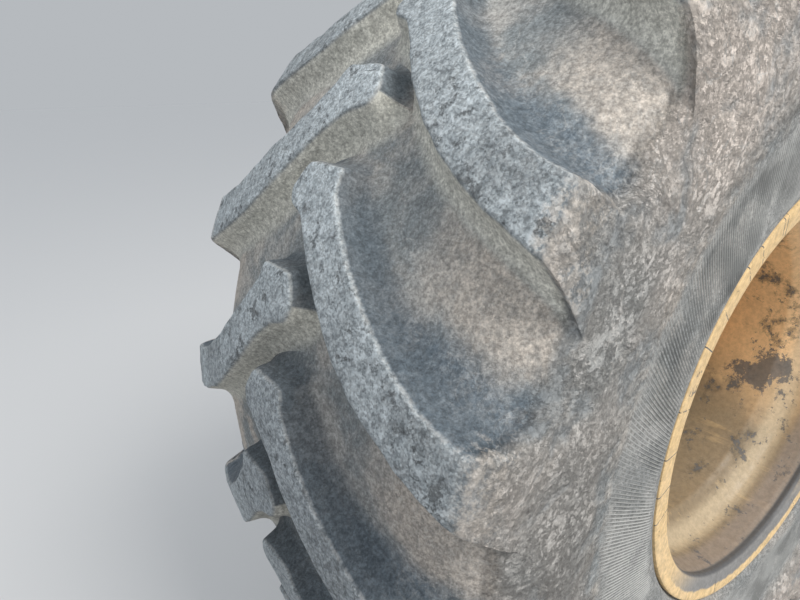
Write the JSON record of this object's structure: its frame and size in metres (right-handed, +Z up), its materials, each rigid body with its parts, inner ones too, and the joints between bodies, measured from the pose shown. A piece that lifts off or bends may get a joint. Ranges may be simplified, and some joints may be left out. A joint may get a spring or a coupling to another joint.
{
  "type": "forestry forwarder wheel with hub and axle end",
  "caption": "Forestry wheel: a wide lugged tyre on a steel rim with disc and hub, which turns on its bolted axle end.",
  "frame": {"origin": "centre of the axle flange's mounting face", "axes": "+Y along the axle, out of the mounting face and away from the wheel; +Z up"},
  "size_m": [1.9134, 0.836, 1.9122],
  "materials": {
    "tyre": "worn, dusty grey rubber",
    "rim_paint": "pale yellow-ochre paint, dirty and chipped",
    "hub_paint": "ochre paint with grease and dust",
    "fastener": "dull steel",
    "valve_metal": "tarnished",
    "valve_cap": "matte black",
    "axle_paint": "dark grey paint, dusty, machined mounting face"
  },
  "bodies": {
    "axle_end": {"axle_housing": "axle_paint"},
    "wheel": {"tyre": "tyre", "rim_barrel": "rim_paint", "wheel_disc": "rim_paint", "valve_guard": "rim_paint", "hub_drum": "hub_paint", "hub_cover": "hub_paint", "cover_bolts": "fastener", "oil_plugs": "fastener", "wheel_studs": "fastener", "valve_stem": "valve_metal", "valve_cap": "valve_cap"}
  },
  "joints": [
    {"name": "wheel_spin", "type": "hinge", "parent": "axle_end", "child": "wheel", "pos_m": [0, -0.43, 0], "axis": [0, 1, 0], "continuous": true}
  ]
}
